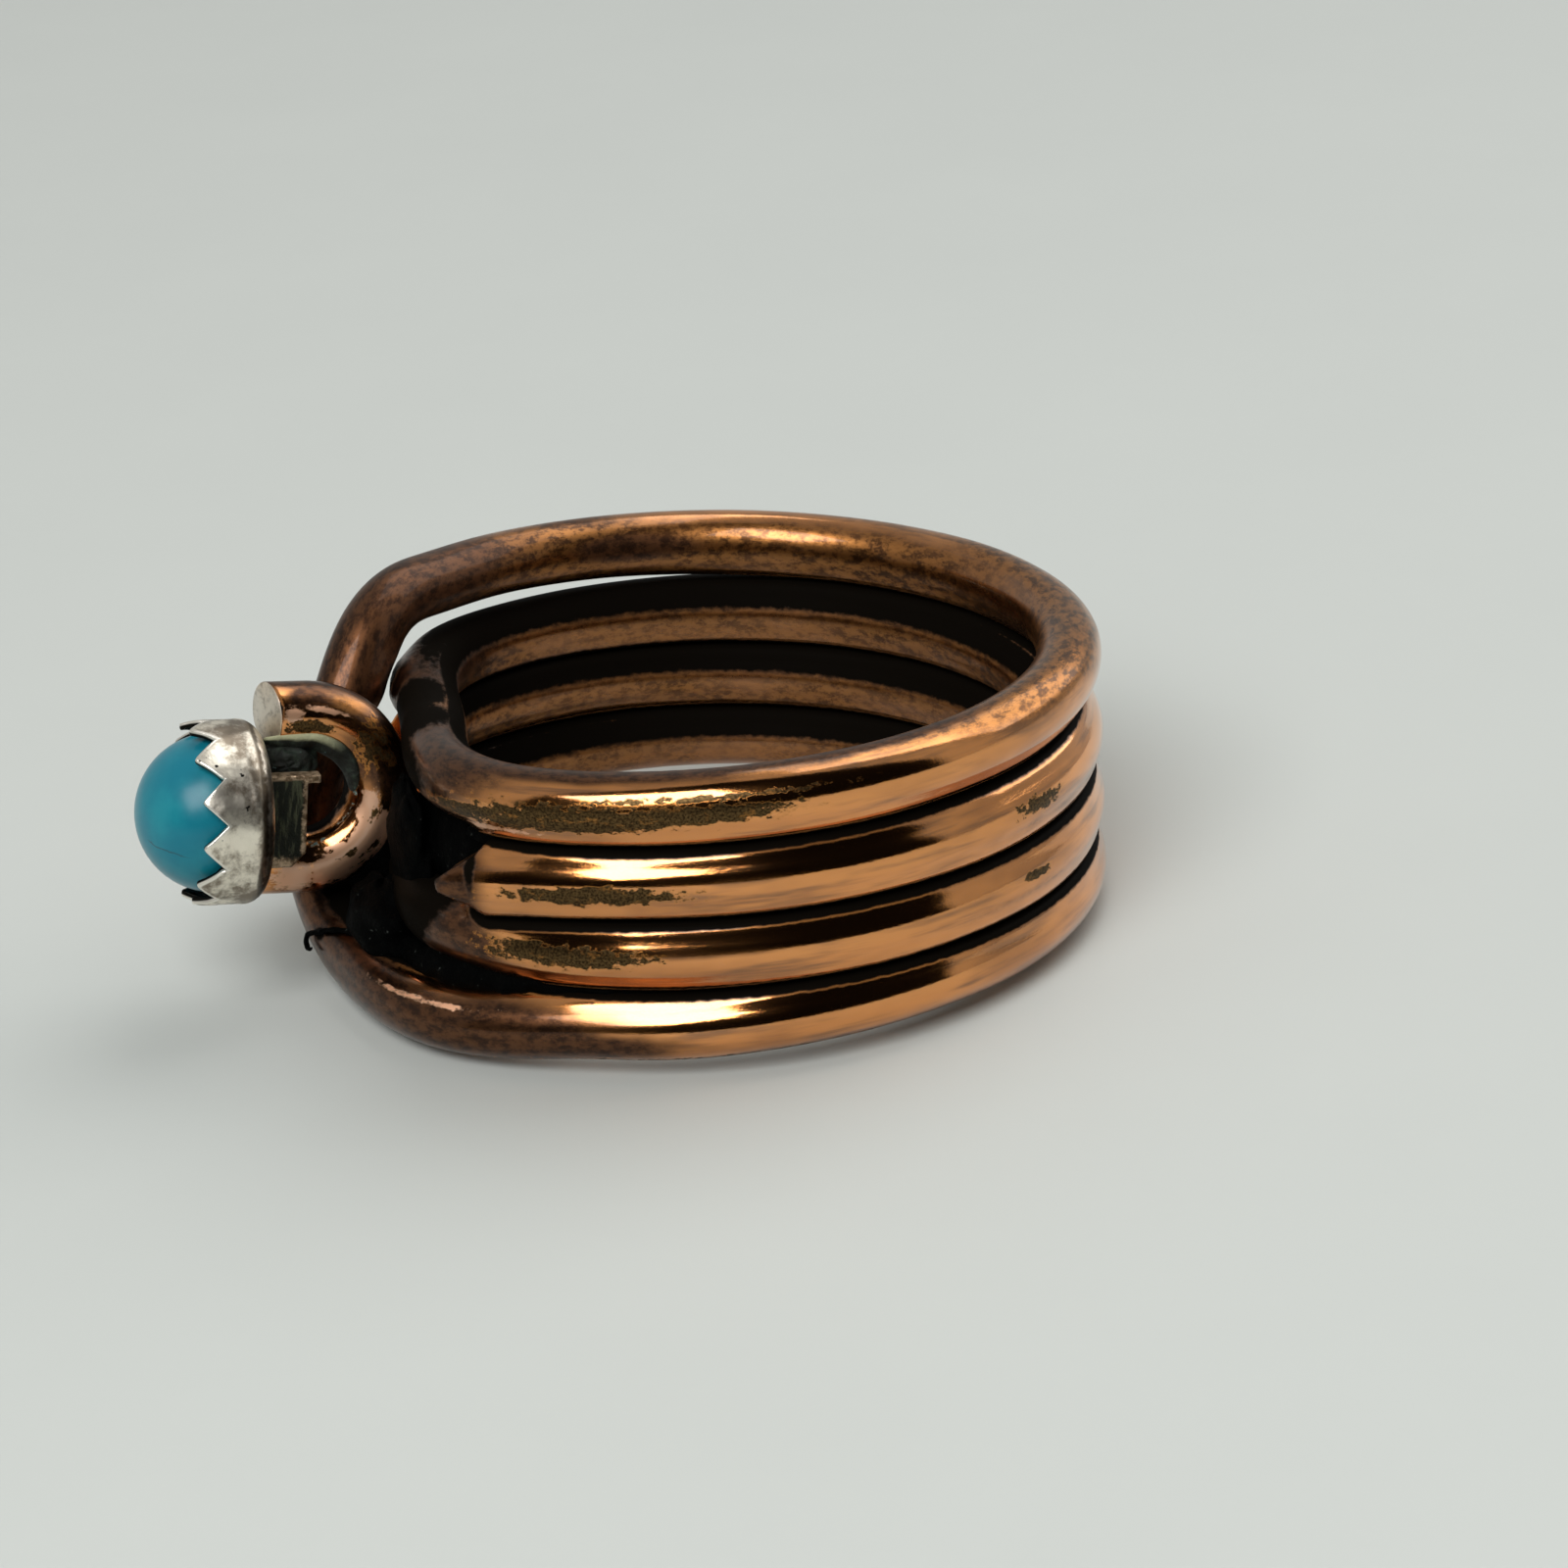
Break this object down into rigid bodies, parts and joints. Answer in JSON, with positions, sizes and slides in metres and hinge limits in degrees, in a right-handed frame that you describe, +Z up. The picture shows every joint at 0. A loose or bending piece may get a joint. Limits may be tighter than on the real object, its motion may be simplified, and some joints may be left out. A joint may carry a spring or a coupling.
{
  "type": "coil ring",
  "caption": "Coiled copper wire ring with a small serrated silver cup holding a round turquoise stone on a wire loop.",
  "frame": {"origin": "on the finger hole's axis, at the level of the surface that the ring lies on", "axes": "+Z up, near the finger hole's axis; -Y towards the stone; +X to the right of someone who faces the stone"},
  "size_m": [0.0242, 0.0304, 0.0106],
  "materials": {
    "coil_copper": "polished copper, tarnished in patches",
    "loop_copper": "polished copper with dark and green tarnish",
    "cup_silver": "worn silver",
    "turquoise": "polished"
  },
  "bodies": {
    "root": {"coil_wire": "coil_copper", "head_loop": "loop_copper", "bezel_cup": "cup_silver", "turquoise_stone": "turquoise"}
  },
  "joints": []
}
